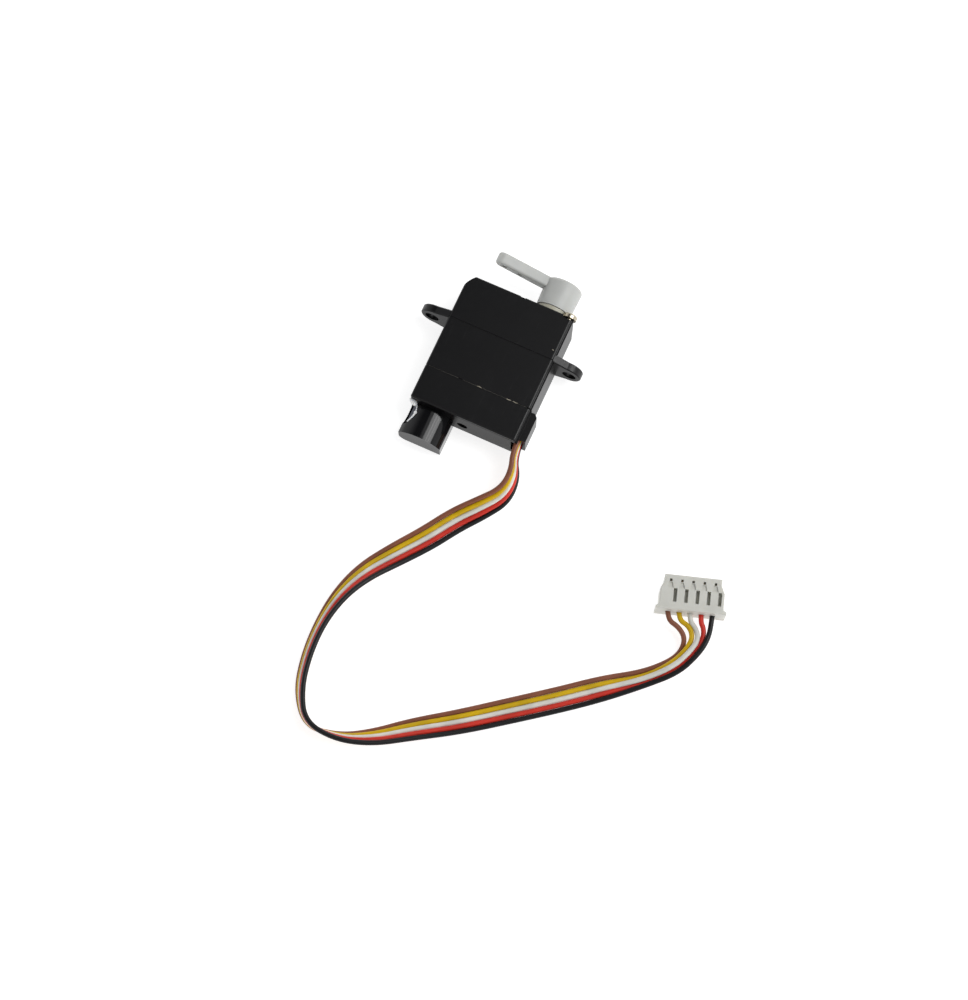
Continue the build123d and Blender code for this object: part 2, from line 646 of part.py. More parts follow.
def wire_route(index):
    """Route points of one wire: set out sideways from the ribbon's middle, then its own fan."""
    points = []
    last = len(RIBBON) - 1
    for i, (x, y, z, roll) in enumerate(RIBBON):
        before = RIBBON[max(i - 1, 0)]
        after = RIBBON[min(i + 1, last)]
        way = Vector(after[0] - before[0], after[1] - before[1], 0).normalized()
        if i <= 1:
            way = Vector(0, -1, 0)
        left = Vector(-way.Y, way.X, 0)
        lean = math.radians(roll)
        side = left * math.cos(lean) + Vector(0, 0, 1) * math.sin(lean)
        points.append(Vector(x, y, z) + side * ((index - 2) * WIRE_PITCH))
    points += [Vector(*p) for p in FAN[WIRES[index]]]
    turn = math.radians(PLUG_TURN)
    across = Vector(math.cos(turn), math.sin(turn), 0)
    inward = Vector(-math.sin(turn), math.cos(turn), 0)
    entry = Vector(*PLUG_PLACE, PLUG_WIRE_Z) + across * (PIN_PITCH * (index - 2))
    points.append(entry + inward * PLUG_WIRE_IN)
    return points


def arc_radii(points):
    """Largest fair arc at each corner of a route."""
    radii = []
    for a, b, c in zip(points, points[1:], points[2:]):
        turn = (b - a).get_angle(c - b)
        radii.append(0.45 * min((b - a).length, (c - b).length) / math.tan(math.radians(turn / 2)))
    return radii


def make_wire(index):
    points = wire_route(index)
    radii = arc_radii(points)
    path = FilletPolyline(*points, radius=radii)
    start = Plane(origin=points[0], z_dir=points[1] - points[0])
    solid = sweep(start * Circle(WIRE_D / 2), path=path)
    section = math.pi * WIRE_D ** 2 / 4
    print("wire", WIRES[index], "length", round(path.length, 2), "volume", round(solid.volume, 3),
          "section x length", round(section * path.length, 3), "least radius", round(min(radii), 2))
    print("  radii", [round(r, 1) for r in radii], "lowest", round(solid.bounding_box().min.Z, 3))
    return solid


# ------------------------------------------------------------------ connector

def place_plug(solid):
    """From the connector's own frame (pins along X, mating end at +Y) to its place."""
    return Pos(*PLUG_PLACE, 0) * Rot(0, 0, PLUG_TURN) * solid


def make_connector_housing():
    half_body, half_nose, half_flange = BODY_WIDE / 2, NOSE_WIDE / 2, FLANGE_WIDE / 2
    side = [(half_flange, 0), (half_flange, FLANGE_LONG - FLARE), (half_body, FLANGE_LONG),
            (half_body, WAIST), (half_nose, NOSE_START), (half_nose, PLUG_LENGTH)]
    body = extrude(outline(side + [(-x, y) for x, y in reversed(side)]), amount=PLUG_HIGH)
    body = chamfer(body.edges().filter_by_position(Axis.Z, PLUG_HIGH - 0.01, PLUG_HIGH + 0.01), PLUG_EDGE)
    for i in range(len(WIRES)):
        x = PIN_PITCH * (i - 2)
        # terminal cavity, wire entry, latch window and the slot beside each raised rib
        body -= block((x - 0.4, x + 0.4), (PLUG_WIRE_IN, PLUG_LENGTH + 1), (1.05, 2.15))
        body -= rod(x, PLUG_WIRE_Z, WIRE_D / 2 + 0.06, -1, PLUG_WIRE_IN + 0.1)
        body -= block((x - WINDOW_HALF, x + WINDOW_HALF), LATCH, (2.0, PLUG_HIGH + 1))
        body -= block((x + RIB_HALF, x + RIB_HALF + SLOT_WIDE), (SLOT_START, RIB_END),
                      (PLUG_HIGH - SLOT_DEEP, PLUG_HIGH + 1))
        # a shallow recess ahead of each rib, narrowing to the latch window
        recess = outline([(x - RIB_HALF + 0.03, RIB_END + 0.04), (x + RIB_HALF - 0.03, RIB_END + 0.04),
                          (x + WINDOW_HALF + 0.05, LATCH[0] - 0.06), (x - WINDOW_HALF - 0.05, LATCH[0] - 0.06)])
        body -= Pos(0, 0, PLUG_HIGH - RIB_HIGH) * extrude(recess, amount=1)
    return place_plug(body)


def make_connector_terminals():
    parts = []
    for i in range(len(WIRES)):
        x = PIN_PITCH * (i - 2)
        crimp = block((x - 0.32, x + 0.32), (PLUG_WIRE_IN, PLUG_LENGTH - 0.3), (1.15, 2.05))
        crimp -= block((x - 0.2, x + 0.2), (PLUG_LENGTH - 2.0, PLUG_LENGTH), (1.3, 1.9))
        parts.append(place_plug(crimp))
    return Compound(children=parts)


# ------------------------------------------------------------------ all nodes

NODES = {
    "top_case": make_top_case,
    "mid_case": make_mid_case,
    "bottom_case": make_bottom_case,
    "motor_cover": make_motor_cover,
    "motor_can": make_motor_can,
    "motor_end_cap": make_motor_end_cap,
    "motor_magnets": make_motor_magnets,
    "motor_armature": make_motor_armature,
    "motor_commutator": make_motor_commutator,
    "motor_brushes": make_motor_brushes,
    "motor_leads": make_motor_leads,
    "motor_shaft": make_motor_shaft,
    "motor_pinion": make_motor_pinion,
    "output_gear": make_output_gear,
    "output_bushing": make_output_bushing,
    "horn": make_horn,
    "horn_screw": make_horn_screw,
    "pot_body": make_pot_body,
    "pot_track": make_pot_track,
    "pot_wiper": make_pot_wiper,
    "pot_terminals": make_pot_terminals,
    "terminal_board": make_terminal_board,
    "solder_joints": make_solder_joints,
    "case_screw_top": make_case_screw_top,
    "case_screw_bottom": make_case_screw_bottom,
    "connector_housing": make_connector_housing,
    "connector_terminals": make_connector_terminals,
}

for node, make in NODES.items():
    export_step(make(), f"parts/{node}.step")

TRAIN = (
    ("gear_first", AXLE_A, MOTOR, AXLE_B, 1, PINION_TEETH),
    ("gear_second", AXLE_B, AXLE_A, AXLE_A, 2, PINION_TEETH),
    ("gear_third", AXLE_A, AXLE_B, AXLE_B, 3, PINION_TEETH),
    ("gear_fourth", AXLE_B, AXLE_A, OUT, 4, LAST_TEETH),
)
for node, axis, driver, driven, level, teeth in TRAIN:
    export_step(compound_gear(axis, driver, driven, level, teeth), f"parts/{node}.step")

for node, axis in (("gear_axle_a", AXLE_A), ("gear_axle_b", AXLE_B)):
    export_step(rod(*axis, AXLE_R, -0.2, CASE_TOP - ROOF + 0.25), f"parts/{node}.step")

for i, colour in enumerate(WIRES):
    export_step(make_wire(i), f"parts/wire_{colour}.step")
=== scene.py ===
import json
import math
import bmesh
import bpy
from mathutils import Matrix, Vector, noise


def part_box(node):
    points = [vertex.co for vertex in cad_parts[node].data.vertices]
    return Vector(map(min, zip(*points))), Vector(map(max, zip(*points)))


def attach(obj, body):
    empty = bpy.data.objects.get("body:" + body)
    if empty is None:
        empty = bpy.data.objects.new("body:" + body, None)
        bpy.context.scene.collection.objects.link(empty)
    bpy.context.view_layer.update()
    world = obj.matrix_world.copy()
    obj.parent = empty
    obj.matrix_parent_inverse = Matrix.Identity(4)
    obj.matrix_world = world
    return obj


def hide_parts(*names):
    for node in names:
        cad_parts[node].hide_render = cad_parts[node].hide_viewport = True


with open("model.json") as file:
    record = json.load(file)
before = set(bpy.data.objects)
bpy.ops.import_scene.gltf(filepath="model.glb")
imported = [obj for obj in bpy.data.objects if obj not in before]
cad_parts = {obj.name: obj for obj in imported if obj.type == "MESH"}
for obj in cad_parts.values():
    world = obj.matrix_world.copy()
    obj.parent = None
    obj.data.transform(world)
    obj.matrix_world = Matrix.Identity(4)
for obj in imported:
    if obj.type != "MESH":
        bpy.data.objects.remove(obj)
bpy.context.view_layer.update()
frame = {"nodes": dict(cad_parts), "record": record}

# A sub-micro five-wire servo lying on its back. Metres, in the CAD model's own frame:
# +X along the mounting tabs, +Y up the output axis, +Z out of the front face.
MM = 0.001

# ---- camera
CAMERA_TARGET = (0.00557, -0.01676, 0.0)
CAMERA_DISTANCE = 0.27285
CAMERA_ELEVATION = math.radians(75.0)
CAMERA_AZIMUTH = math.radians(24.41)
CAMERA_LENS = 86.4

# ---- softboxes over the right side: name, height round the output axis in degrees, radiance
SOFTBOXES = (("window_low", 47.5, 5.6), ("window_mid", 59.5, 5.6), ("window_high", 71.5, 4.2),
             ("window_top", 81.0, 0.8))
SOFTBOX_CENTRE = (0.0, -0.012, 0.003)
SOFTBOX_DISTANCE = 0.6
SOFTBOX_SIZE = (0.30, 0.126)
SOFTBOX_LEAN = 0.264
WORLD_STRENGTH = 0.95

# ---- floor: half its width, and how far it lies below the lowest point
FLOOR_HALF = 1.5
FLOOR_DROP = 0.00002

# ---- ribbon cable
WIRES = ("brown", "yellow", "white", "red", "black")
WIRE_D = 0.58 * MM
WIRE_PITCH = 0.59 * MM

# ---- connector
PIN_PITCH = 1.25 * MM
PLUG_PLACE = (0.0321, -0.01965)
PLUG_TURN = math.radians(18)
PLUG_WIRE_Z = 0.0016
PLUG_WIRE_IN = 0.0007

# ---- motor cover's dome, in millimetres
DOME_X = -3.85
DOME_R = 3.1

# ---- flash along the joints on the front face: start x, end x and radius, in millimetres
LOW_FLASH = ((-0.1, 0.5, 0.055), (3.55, 4.1, 0.06), (4.3, 4.95, 0.05))
HIGH_FLASH = ((5.85, 6.1, 0.05),)
FLASH_POINTS = 8
FLASH_THREADS = ((-6.3, -2.2), (-1.9, 6.1))
FLASH_STEP = 0.1
FLASH_SINK = 0.02
THREAD_SINK = 0.025
FLASH_WANDER = 0.05
BEAD_SIDES = 14

# ---- white glue, in millimetres: the blob from the case's corner as across, out and height, and
# the rest as x, y on the dome
GLUE_BLOB = ((-0.02, 0.0, 3.95), (0.25, 0.14, 3.9), (0.55, 0.2, 3.65), (0.8, 0.3, 3.2))
GLUE_BLOB_RADII = (0.14, 0.27, 0.34, 0.36, 0.33, 0.25, 0.16)
GLUE_RIM = ((-5.72, -10.3), (-5.56, -10.6), (-5.46, -10.95), (-5.42, -11.3))
GLUE_RIM_RADIUS = 0.075
GLUE_DROP = ((-5.33, -11.25), (-5.4, -11.4), (-5.44, -11.6))
GLUE_DROP_RADII = (0.1, 0.17, 0.2, 0.19, 0.15, 0.1)
GLUE_DROP_LIFT = 0.03
GLUE_STRIP = ((-5.42, -11.6), (-5.5, -11.95), (-5.66, -12.3), (-5.88, -12.68))
GLUE_POINTS = 12

# ---- finishes
MOULD_GRAIN = 0.12 * MM
MOULD_DEPTH = 0.004 * MM
TARNISH = 0.25

# Route of the ribbon's middle wire: x, y, z in metres and the ribbon's roll in degrees. Roll 0
# lies flat with the black wire on the left of the way to the connector, 90 stands on brown.
RIBBON = [
    (0.00660, -0.00730, 0.00250, -90),
    (0.00660, -0.01090, 0.00250, -84),
    (0.00775, -0.01320, 0.00220, -68),
    (0.00762, -0.01575, 0.00170, -52),
    (0.00585, -0.01795, 0.00115, -35),
    (0.00371, -0.02038, 0.00072, -15),
    (0.00163, -0.02358, 0.00047, -5),
    (-0.00087, -0.02688, 0.00052, 8),
    (-0.00311, -0.03011, 0.00089, 28),
    (-0.00450, -0.03366, 0.00125, 48),
    (-0.00505, -0.03761, 0.00140, 62),
    (-0.00485, -0.04160, 0.00143, 66),
    (-0.00395, -0.04540, 0.00145, 70),
    (-0.00170, -0.04860, 0.00150, 86),
    (0.00222, -0.04845, 0.00145, 112),
    (0.00572, -0.04685, 0.00122, 135),
    (0.00931, -0.04412, 0.00086, 155),
    (0.01362, -0.04122, 0.00055, 170),
    (0.01857, -0.03746, 0.00040, 180),
    (0.02304, -0.03406, 0.00040, 184),
    (0.02670, -0.03110, 0.00048, 180),
]

# Near the connector the wires leave the ribbon one by one: each wire's own points.
FAN = {
    "brown": [(0.02981, -0.02766, 0.00036), (0.03210, -0.02534, 0.00047), (0.03288, -0.02383, 0.00076),
              (0.03272, -0.02235, 0.00122), (0.03160, -0.02150, 0.00145), (0.02998, -0.02123, PLUG_WIRE_Z)],
    "yellow": [(0.03024, -0.02809, 0.00036), (0.03245, -0.02557, 0.00110), (0.03334, -0.02348, 0.00139),
               (0.03347, -0.02200, 0.00162), (0.03260, -0.02095, 0.00160), (0.03114, -0.02075, PLUG_WIRE_Z)],
    "white": [(0.03047, -0.02832, 0.00097), (0.03283, -0.02580, 0.00159), (0.03380, -0.02360, 0.00182),
              (0.03410, -0.02200, 0.00185), (0.03340, -0.02090, 0.00160), (0.03233, -0.02036, PLUG_WIRE_Z)],
    "red": [(0.03071, -0.02856, 0.00035), (0.03314, -0.02603, 0.00081), (0.03426, -0.02360, 0.00122),
            (0.03456, -0.02154, 0.00145), (0.03415, -0.02050, 0.00150), (0.03352, -0.01997, PLUG_WIRE_Z)],
    "black": [(0.03097, -0.02882, 0.00090), (0.03355, -0.02626, 0.00133), (0.03472, -0.02360, 0.00168),
              (0.03508, -0.02165, 0.00180), (0.03476, -0.01974, PLUG_WIRE_Z)],
}


# ------------------------------------------------------------------ camera, light and floor

def make_camera():
    """Looks down steeply from beyond the case's lower right corner."""
    away = Vector((math.sin(CAMERA_AZIMUTH) * math.cos(CAMERA_ELEVATION),
                   -math.cos(CAMERA_AZIMUTH) * math.cos(CAMERA_ELEVATION), math.sin(CAMERA_ELEVATION)))
    data = bpy.data.cameras.new("camera")
    data.lens = CAMERA_LENS
    data.sensor_width = 36.0
    data.clip_start = 0.01
    camera = bpy.data.objects.new("camera", data)
    camera.location = Vector(CAMERA_TARGET) + away * CAMERA_DISTANCE
    camera.rotation_euler = (-away).to_track_quat("-Z", "Y").to_euler()
    bpy.context.scene.collection.objects.link(camera)
    bpy.context.scene.camera = camera


def make_world():
    """A white studio whose ceiling is dark: bright low down, dim overhead."""
    world = bpy.data.worlds.new("studio")
    world.use_nodes = True
    tree = world.node_tree
    coords = tree.nodes.new("ShaderNodeTexCoord")
    split = tree.nodes.new("ShaderNodeSeparateXYZ")
    ramp = tree.nodes.new("ShaderNodeValToRGB")
    ramp.color_ramp.elements[0].position = 0.0
    ramp.color_ramp.elements[0].color = (1.0, 1.0, 1.0, 1.0)
    ramp.color_ramp.elements[1].position = 0.85
    ramp.color_ramp.elements[1].color = (0.05, 0.05, 0.055, 1.0)
    middle = ramp.color_ramp.elements.new(0.5)
    middle.color = (0.85, 0.85, 0.86, 1.0)
    tree.links.new(coords.outputs["Generated"], split.inputs[0])
    tree.links.new(split.outputs["Z"], ramp.inputs["Fac"])
    tree.links.new(ramp.outputs["Color"], tree.nodes["Background"].inputs["Color"])
    tree.nodes["Background"].inputs["Strength"].default_value = WORLD_STRENGTH
    bpy.context.scene.world = world
    bpy.context.scene.view_settings.view_transform = "Standard"


def make_softboxes():
    """One long window of light over the right side, even from its low edge and fading at the top."""
    for name, arc_deg, radiance in SOFTBOXES:
        data = bpy.data.lights.new(name, "AREA")
        data.shape = "RECTANGLE"
        data.size, data.size_y = SOFTBOX_SIZE
        data.energy = radiance * math.pi * SOFTBOX_SIZE[0] * SOFTBOX_SIZE[1]
        lamp = bpy.data.objects.new(name, data)
        arc = math.radians(arc_deg)
        way = Vector((math.cos(arc), SOFTBOX_LEAN, math.sin(arc))).normalized()
        lamp.location = Vector(SOFTBOX_CENTRE) + way * SOFTBOX_DISTANCE
        lamp.rotation_euler = (-way).to_track_quat("-Z", "Y").to_euler()
        bpy.context.scene.collection.objects.link(lamp)


def make_floor():
    """A wide white floor just under the object, which lights it a little from below."""
    mesh = bpy.data.meshes.new("floor")
    bm = bmesh.new()
    bmesh.ops.create_grid(bm, x_segments=8, y_segments=8, size=FLOOR_HALF)
    bm.to_mesh(mesh)
    bm.free()
    floor = bpy.data.objects.new("floor", mesh)
    floor.location = (0.0, 0.0, -FLOOR_DROP)
    bpy.context.scene.collection.objects.link(floor)
    mat, nodes, links, shader = new_material("floor_white")
    shader.inputs["Base Color"].default_value = (0.5, 0.5, 0.5, 1)
    shader.inputs["Roughness"].default_value = 0.6
    shader.inputs["Specular IOR Level"].default_value = 0.2
    shader.inputs["Emission Color"].default_value = (1, 1, 1, 1)
    shader.inputs["Emission Strength"].default_value = 0.8
    mesh.materials.append(mat)


# ------------------------------------------------------------------ materials

def new_material(name):
    mat = bpy.data.materials.new(name)
    mat.use_nodes = True
    nodes = mat.node_tree.nodes
    return mat, nodes, mat.node_tree.links, nodes["Principled BSDF"]


def add_noise(nodes, links, size, detail, stretch=(1, 1, 1), turn=0.0):
    """A noise whose features are about size metres across, drawn out along its stretched axes."""
    coords = nodes.new("ShaderNodeTexCoord")
    mapping = nodes.new("ShaderNodeMapping")
    mapping.inputs["Scale"].default_value = [1 / s for s in stretch]
    mapping.inputs["Rotation"].default_value = (0, 0, turn)
    texture = nodes.new("ShaderNodeTexNoise")
    texture.inputs["Scale"].default_value = 1 / size
    texture.inputs["Detail"].default_value = detail
    links.new(coords.outputs["Object"], mapping.inputs["Vector"])
    links.new(mapping.outputs["Vector"], texture.inputs["Vector"])
    return texture.outputs["Fac"]


def add_range(nodes, links, source, from_range, to_range):
    """Map one range of values onto another."""
    node = nodes.new("ShaderNodeMapRange")
    node.inputs["From Min"].default_value, node.inputs["From Max"].default_value = from_range
    node.inputs["To Min"].default_value, node.inputs["To Max"].default_value = to_range
    links.new(source, node.inputs["Value"])
    return node.outputs["Result"]


def add_mix(nodes, links, factor, first, second):
    """Mix two colours; each is a tuple or another node's output."""
    node = nodes.new("ShaderNodeMix")
    node.data_type = "RGBA"
    links.new(factor, node.inputs["Factor"])
    for socket, value in ((node.inputs["A"], first), (node.inputs["B"], second)):
        if isinstance(value, tuple):
            socket.default_value = (*value, 1.0)
        else:
            links.new(value, socket)
    return node.outputs["Result"]


def add_bump(nodes, links, shader, height, depth, strength=0.5):
    bump = nodes.new("ShaderNodeBump")
    bump.inputs["Distance"].default_value = depth
    bump.inputs["Strength"].default_value = strength
    links.new(height, bump.inputs["Height"])
    links.new(bump.outputs["Normal"], shader.inputs["Normal"])


def painted_underside_shade(nodes, links, shader, level, shaded_level):
    """Painted shade: faces that look down the output axis shine less than the rest, standing in for the
    shaded floor close by that they reflect.
    """
    coords = nodes.new("ShaderNodeTexCoord")
    split = nodes.new("ShaderNodeSeparateXYZ")
    links.new(coords.outputs["Normal"], split.inputs[0])
    links.new(add_range(nodes, links, split.outputs["Y"], (-0.95, -0.5), (shaded_level, level)),
              shader.inputs["Specular IOR Level"])


def shade(colour, factor):
    return tuple(min(1.0, c * factor) for c in colour)


def moulded(name, colour, roughness, mottle, glow=0.0):
    """Moulded plastic: faint mottling, a fine grain, and for pale nylon some light through it."""
    mat, nodes, links, shader = new_material(name)
    patches = add_noise(nodes, links, 1.6 * MM, 4.0)
    tint = add_range(nodes, links, patches, (0.3, 0.7), (0.0, 1.0))
    links.new(add_mix(nodes, links, tint, shade(colour, 1 - mottle), shade(colour, 1 + mottle)),
              shader.inputs["Base Color"])
    fine = add_noise(nodes, links, MOULD_GRAIN, 2.0)
    links.new(add_range(nodes, links, fine, (0.3, 0.7), (roughness - 0.06, roughness + 0.06)),
              shader.inputs["Roughness"])
    add_bump(nodes, links, shader, fine, MOULD_DEPTH)
    if glow:
        shader.inputs["Subsurface Weight"].default_value = glow
        shader.inputs["Subsurface Radius"].default_value = (1.0, 0.9, 0.75)
        shader.inputs["Subsurface Scale"].default_value = 0.8 * MM
    return mat


def scuffed_case(name):
    """Satin black with fine grain, long faint scuffs and a few dull rubbed patches."""
    mat, nodes, links, shader = new_material(name)
    base = (0.0034, 0.0034, 0.0039)
    rubbed = add_range(nodes, links, add_noise(nodes, links, 3.2 * MM, 5.0), (0.52, 0.72), (0.0, 0.6))
    scuffs = add_noise(nodes, links, 0.22 * MM, 4.0, stretch=(1, 14, 1), turn=math.radians(-31))
    scuff = add_range(nodes, links, scuffs, (0.63, 0.74), (0.0, 0.5))
    toned = add_mix(nodes, links, rubbed, base, (0.0056, 0.0056, 0.0062))
    links.new(add_mix(nodes, links, scuff, toned, (0.016, 0.016, 0.017)), shader.inputs["Base Color"])
    fine = add_noise(nodes, links, 0.07 * MM, 2.0)
    links.new(add_range(nodes, links, fine, (0.3, 0.7), (0.28, 0.38)), shader.inputs["Roughness"])
    # painted shade: faces looking down the output axis get weaker reflections
    painted_underside_shade(nodes, links, shader, 0.32, 0.08)
    add_bump(nodes, links, shader, fine, 0.006 * MM, 0.45)
    return mat


def glossy_cover(name):
    """Shiny black plastic with the faint ripple of a thin moulding."""
    mat, nodes, links, shader = new_material(name)
    patches = add_noise(nodes, links, 0.9 * MM, 3.0)
    links.new(add_mix(nodes, links, patches, (0.004, 0.004, 0.0045), (0.008, 0.008, 0.009)),
              shader.inputs["Base Color"])
    smears = add_noise(nodes, links, 0.5 * MM, 4.0, stretch=(1, 3, 1))
    links.new(add_range(nodes, links, smears, (0.35, 0.75), (0.07, 0.13)), shader.inputs["Roughness"])
    # painted shade: faces looking down the output axis get weaker reflections
    painted_underside_shade(nodes, links, shader, 0.36, 0.08)
    add_bump(nodes, links, shader, patches, 0.004 * MM, 0.2)
    return mat


def metal(name, colour, roughness, brush=(1, 1, 1)):
    """Metal with a brushed or drawn finish and patches of tarnish."""
    mat, nodes, links, shader = new_material(name)
    shader.inputs["Metallic"].default_value = 1.0
    patches = add_range(nodes, links, add_noise(nodes, links, 0.7 * MM, 4.0), (0.4, 0.75), (0.0, 1.0))
    links.new(add_mix(nodes, links, patches, colour, shade(colour, 1 - TARNISH)),
              shader.inputs["Base Color"])
    lines = add_noise(nodes, links, 0.05 * MM, 2.0, stretch=brush)
    links.new(add_range(nodes, links, lines, (0.3, 0.7), (roughness - 0.08, roughness + 0.1)),
              shader.inputs["Roughness"])
    add_bump(nodes, links, shader, lines, 0.003 * MM, 0.35)
    return mat


def wire_sheath(name, colour):
    """Soft sheath with a faint length-wise sheen change and handling marks."""
    mat, nodes, links, shader = new_material(name)
    patches = add_range(nodes, links, add_noise(nodes, links, 2.2 * MM, 4.0), (0.35, 0.7), (0.0, 1.0))
    links.new(add_mix(nodes, links, patches, shade(colour, 0.86), shade(colour, 1.08)),
              shader.inputs["Base Color"])
    fine = add_noise(nodes, links, 0.1 * MM, 3.0)
    links.new(add_range(nodes, links, fine, (0.3, 0.7), (0.36, 0.50)), shader.inputs["Roughness"])
    shader.inputs["Specular IOR Level"].default_value = 0.3
    add_bump(nodes, links, shader, fine, 0.008 * MM, 0.4)
    return mat


MATERIALS = {
    "case_plastic": scuffed_case("case_black"),
    "cover_plastic": glossy_cover("cover_black"),
    "horn_nylon": moulded("horn_white", (0.51, 0.52, 0.50), 0.42, mottle=0.03, glow=0.25),
    "gear_nylon": moulded("gear_cream", (0.52, 0.50, 0.40), 0.40, mottle=0.06, glow=0.15),
    "screw_steel": metal("screw_warm", (0.60, 0.54, 0.42), 0.22),
    "bright_steel": metal("can_steel", (0.055, 0.058, 0.07), 0.34, brush=(1, 12, 1)),
    "magnet": metal("magnet_dark", (0.10, 0.10, 0.11), 0.5),
    "copper": metal("winding_copper", (0.72, 0.34, 0.17), 0.35, brush=(1, 1, 8)),
    "contact_brass": metal("brass", (0.72, 0.52, 0.22), 0.28),
    "cap_plastic": moulded("cap_white", (0.60, 0.58, 0.50), 0.45, mottle=0.05),
    "board": moulded("board_brown", (0.30, 0.20, 0.06), 0.5, mottle=0.12),
    "track": moulded("track_black", (0.02, 0.02, 0.02), 0.6, mottle=0.2),
    "solder": metal("solder", (0.62, 0.63, 0.64), 0.2),
    "wire_brown": wire_sheath("sheath_brown", (0.24, 0.085, 0.045)),
    "wire_yellow": wire_sheath("sheath_yellow", (0.66, 0.42, 0.002)),
    "wire_white": wire_sheath("sheath_white", (0.74, 0.74, 0.68)),
    "wire_red": wire_sheath("sheath_red", (0.64, 0.035, 0.02)),
    "wire_black": wire_sheath("sheath_black", (0.006, 0.006, 0.007)),
    "glue": moulded("glue_white", (0.90, 0.91, 0.91), 0.38, mottle=0.03, glow=0.2),
    "flash": moulded("flash_beige", (0.30, 0.27, 0.21), 0.5, mottle=0.3),
    "flash_thin": moulded("flash_thin", (0.045, 0.043, 0.038), 0.5, mottle=0.5),
    "connector_nylon": moulded("connector_ivory", (0.62, 0.62, 0.57), 0.42, mottle=0.04, glow=0.2),
}


def dress_frame():
    """Every CAD node gets the finish of its slot."""
    slots = {part["node"]: part["material_slot"] for part in frame["record"]["subparts"]}
    for name, obj in frame["nodes"].items():
        obj.data.materials.clear()
        obj.data.materials.append(MATERIALS[slots[name]])


# ------------------------------------------------------------------ cords

def wire_route(index):
    """Control points of one wire: set out sideways from the ribbon's middle, then its own fan."""
    points = []
    last = len(RIBBON) - 1
    for i, (x, y, z, roll) in enumerate(RIBBON):
        before = Vector(RIBBON[max(i - 1, 0)][:2])
        after = Vector(RIBBON[min(i + 1, last)][:2])
        way = (after - before).normalized() if i > 1 else Vector((0, -1))
        left = Vector((-way.y, way.x, 0))
        lean = math.radians(roll)
        side = left * math.cos(lean) + Vector((0, 0, 1)) * math.sin(lean)
        points.append(Vector((x, y, z)) + side * ((index - 2) * WIRE_PITCH))
    points += [Vector(p) for p in FAN[WIRES[index]]]
    across = Vector((math.cos(PLUG_TURN), math.sin(PLUG_TURN), 0))
    inward = Vector((-math.sin(PLUG_TURN), math.cos(PLUG_TURN), 0))
    entry = Vector((*PLUG_PLACE, PLUG_WIRE_Z)) + across * (PIN_PITCH * (index - 2))
    points.append(entry + inward * PLUG_WIRE_IN)
    return points


def make_wire(index):
    """One wire as a cord that stands for its CAD tube."""
    colour = WIRES[index]
    data = bpy.data.curves.new("wire_" + colour, "CURVE")
    data.dimensions = "3D"
    data.resolution_u = 12
    data.bevel_depth = WIRE_D / 2
    data.bevel_resolution = 6
    data.use_fill_caps = True
    spline = data.splines.new("NURBS")
    points = wire_route(index)
    spline.points.add(len(points) - 1)
    for point, place in zip(spline.points, points):
        point.co = (*place, 1.0)
    spline.order_u = 3
    spline.use_endpoint_u = True
    wire = bpy.data.objects.new("sheath_" + colour, data)
    bpy.context.scene.collection.objects.link(wire)
    data.materials.append(MATERIALS["wire_" + colour])
    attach(wire, "case")
    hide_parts("wire_" + colour)


# ------------------------------------------------------------------ glue, flash and small marks

def make_bead(name, finish, points, radii, ripple):
    """A hand-laid bead: a round section that swells and sinks along its route, closed at both ends."""
    mesh = bpy.data.meshes.new(name)
    bm = bmesh.new()
    ways = [(b - a).normalized() for a, b in zip(points, points[1:])]
    ways.append(ways[-1])
    rings = []
    for k, (place, way, radius) in enumerate(zip(points, ways, radii)):
        across = way.cross(Vector((0, 0, 1))).normalized()
        up = across.cross(way)
        ring = []
        for j in range(BEAD_SIDES):
            turn = 2 * math.pi * j / BEAD_SIDES
            rough = 1 + ripple * noise.noise(Vector((k * 0.9, math.cos(turn) * 1.7, math.sin(turn) * 1.7)))
            outward = across * math.cos(turn) + up * math.sin(turn)
            ring.append(bm.verts.new(place + outward * radius * rough))
        rings.append(ring)
    for first, second in zip(rings, rings[1:]):
        for j in range(BEAD_SIDES):
            k = (j + 1) % BEAD_SIDES
            bm.faces.new((first[j], first[k], second[k], second[j]))
    for end, outward in ((0, -ways[0]), (-1, ways[-1])):
        tip = bm.verts.new(points[end] + outward * radii[end] * 0.5)
        for j in range(BEAD_SIDES):
            bm.faces.new((rings[end][j], rings[end][(j + 1) % BEAD_SIDES], tip))
    bmesh.ops.recalc_face_normals(bm, faces=bm.faces)
    bm.to_mesh(mesh)
    bm.free()
    for face in mesh.polygons:
        face.use_smooth = True
    bead = bpy.data.objects.new(name, mesh)
    bpy.context.scene.collection.objects.link(bead)
    smooth = bead.modifiers.new("smooth", "SUBSURF")
    smooth.levels = smooth.render_levels = 2
    mesh.materials.append(MATERIALS[finish])
    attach(bead, "case")


def dome_point(x, y, lift=0.0):
    """A point on the motor cover's domed front, from millimetres."""
    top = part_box("motor_cover")[1].z / MM
    rise = math.sqrt(DOME_R ** 2 - (x - DOME_X) ** 2) - DOME_R
    return Vector((x, y, top + rise + lift)) * MM


def spread(points, count):
    """The same open route with count evenly spaced points."""
    steps = [0.0]
    for a, b in zip(points, points[1:]):
        steps.append(steps[-1] + (b - a).length)
    even = []
    for i in range(count):
        along = steps[-1] * i / (count - 1)
        k = max(j for j in range(len(points) - 1) if steps[j] <= along + 1e-12)
        even.append(points[k].lerp(points[k + 1], (along - steps[k]) / (steps[k + 1] - steps[k])))
    return even


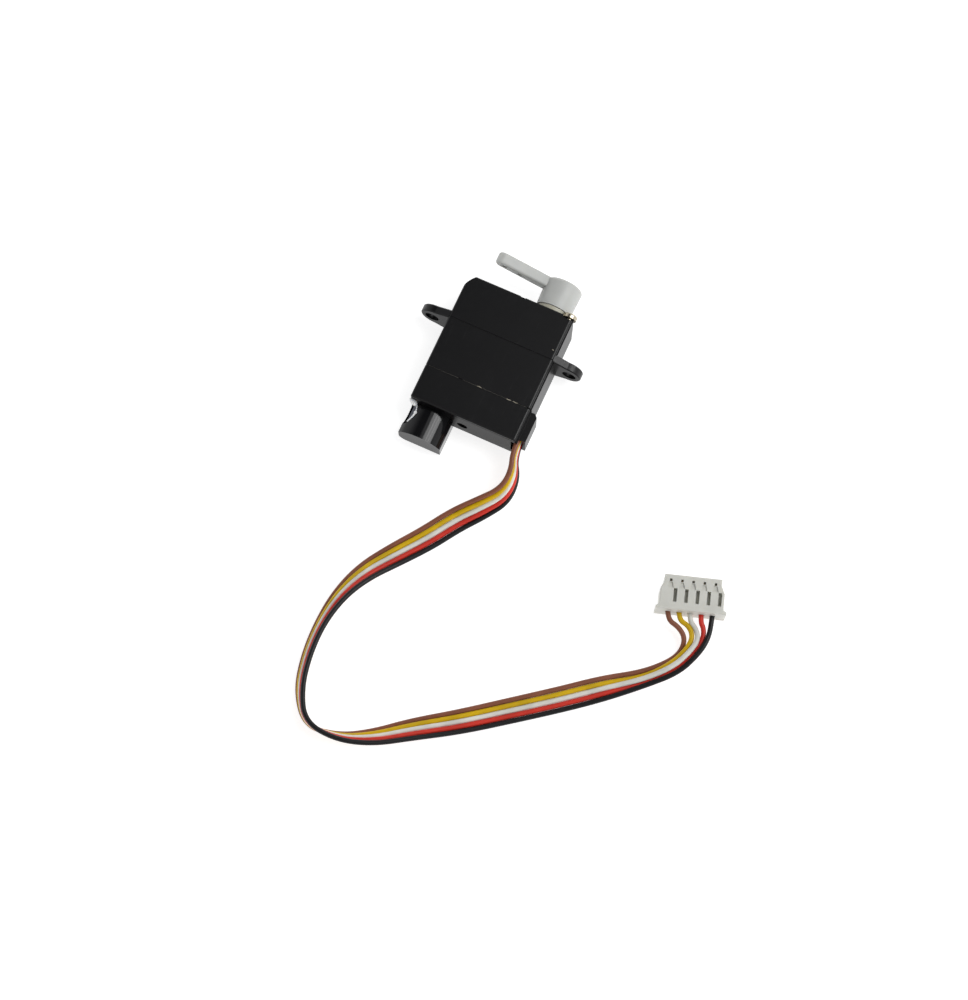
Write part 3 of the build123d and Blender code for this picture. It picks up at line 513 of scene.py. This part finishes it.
def make_glue():
    """White glue round the window in the motor cover: a blob at the case's corner, then a thin rim."""
    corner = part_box("bottom_case")[0]
    blob = [Vector((corner.x + across * MM, corner.y - out * MM, height * MM))
            for across, out, height in GLUE_BLOB]
    swell = [radius * MM for radius in GLUE_BLOB_RADII]
    make_bead("glue_blob", "glue", spread(blob, len(swell)), swell, 0.3)
    rim = [dome_point(x, y) for x, y in GLUE_RIM]
    make_bead("glue_rim", "glue", spread(rim, GLUE_POINTS), [GLUE_RIM_RADIUS * MM] * GLUE_POINTS, 0.4)
    drop = [dome_point(x, y, GLUE_DROP_LIFT) for x, y in GLUE_DROP]
    swell = [radius * MM for radius in GLUE_DROP_RADII]
    make_bead("glue_drop", "glue", spread(drop, len(swell)), swell, 0.35)
    strip = [dome_point(x, y) for x, y in GLUE_STRIP]
    taper = [(0.12 - 0.004 * i) * MM for i in range(GLUE_POINTS)]
    make_bead("glue_strip", "glue", spread(strip, GLUE_POINTS), taper, 0.4)


def make_flash():
    """Specks of pale flash squeezed out of the joints between the case's shells."""
    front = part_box("mid_case")[1].z / MM
    low_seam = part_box("bottom_case")[1].y / MM
    high_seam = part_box("mid_case")[1].y / MM
    for name, y, spans in (("low", low_seam, LOW_FLASH), ("high", high_seam, HIGH_FLASH)):
        for number, (start, end, radius) in enumerate(spans):
            points = []
            radii = []
            for i in range(FLASH_POINTS):
                part = i / (FLASH_POINTS - 1)
                wander = FLASH_WANDER * noise.noise(Vector((number * 3.1, part * 4.0, 0.5)))
                points.append(Vector((start + (end - start) * part, y + wander, front - FLASH_SINK)) * MM)
                radii.append(radius * MM * (0.45 + 0.55 * math.sin(math.pi * part)))
            make_bead(f"flash_{name}_{number}", "flash", points, radii, 0.6)
    # a thin ragged thread runs along most of the lower joint
    for number, (start, end) in enumerate(FLASH_THREADS):
        points = []
        radii = []
        for i in range(int((end - start) / FLASH_STEP)):
            x = start + FLASH_STEP * i
            wander = FLASH_WANDER * noise.noise(Vector((x * 2.3, 4.1, number)))
            points.append(Vector((x, low_seam + wander, front - THREAD_SINK)) * MM)
            radii.append((0.028 + 0.016 * noise.noise(Vector((x * 3.7, 1.3, 7.7)))) * MM)
        make_bead(f"flash_thread_{number}", "flash_thin", points, radii, 0.5)


make_camera()
make_world()
make_softboxes()
make_floor()
dress_frame()
for wire_index in range(len(WIRES)):
    make_wire(wire_index)
make_glue()
make_flash()
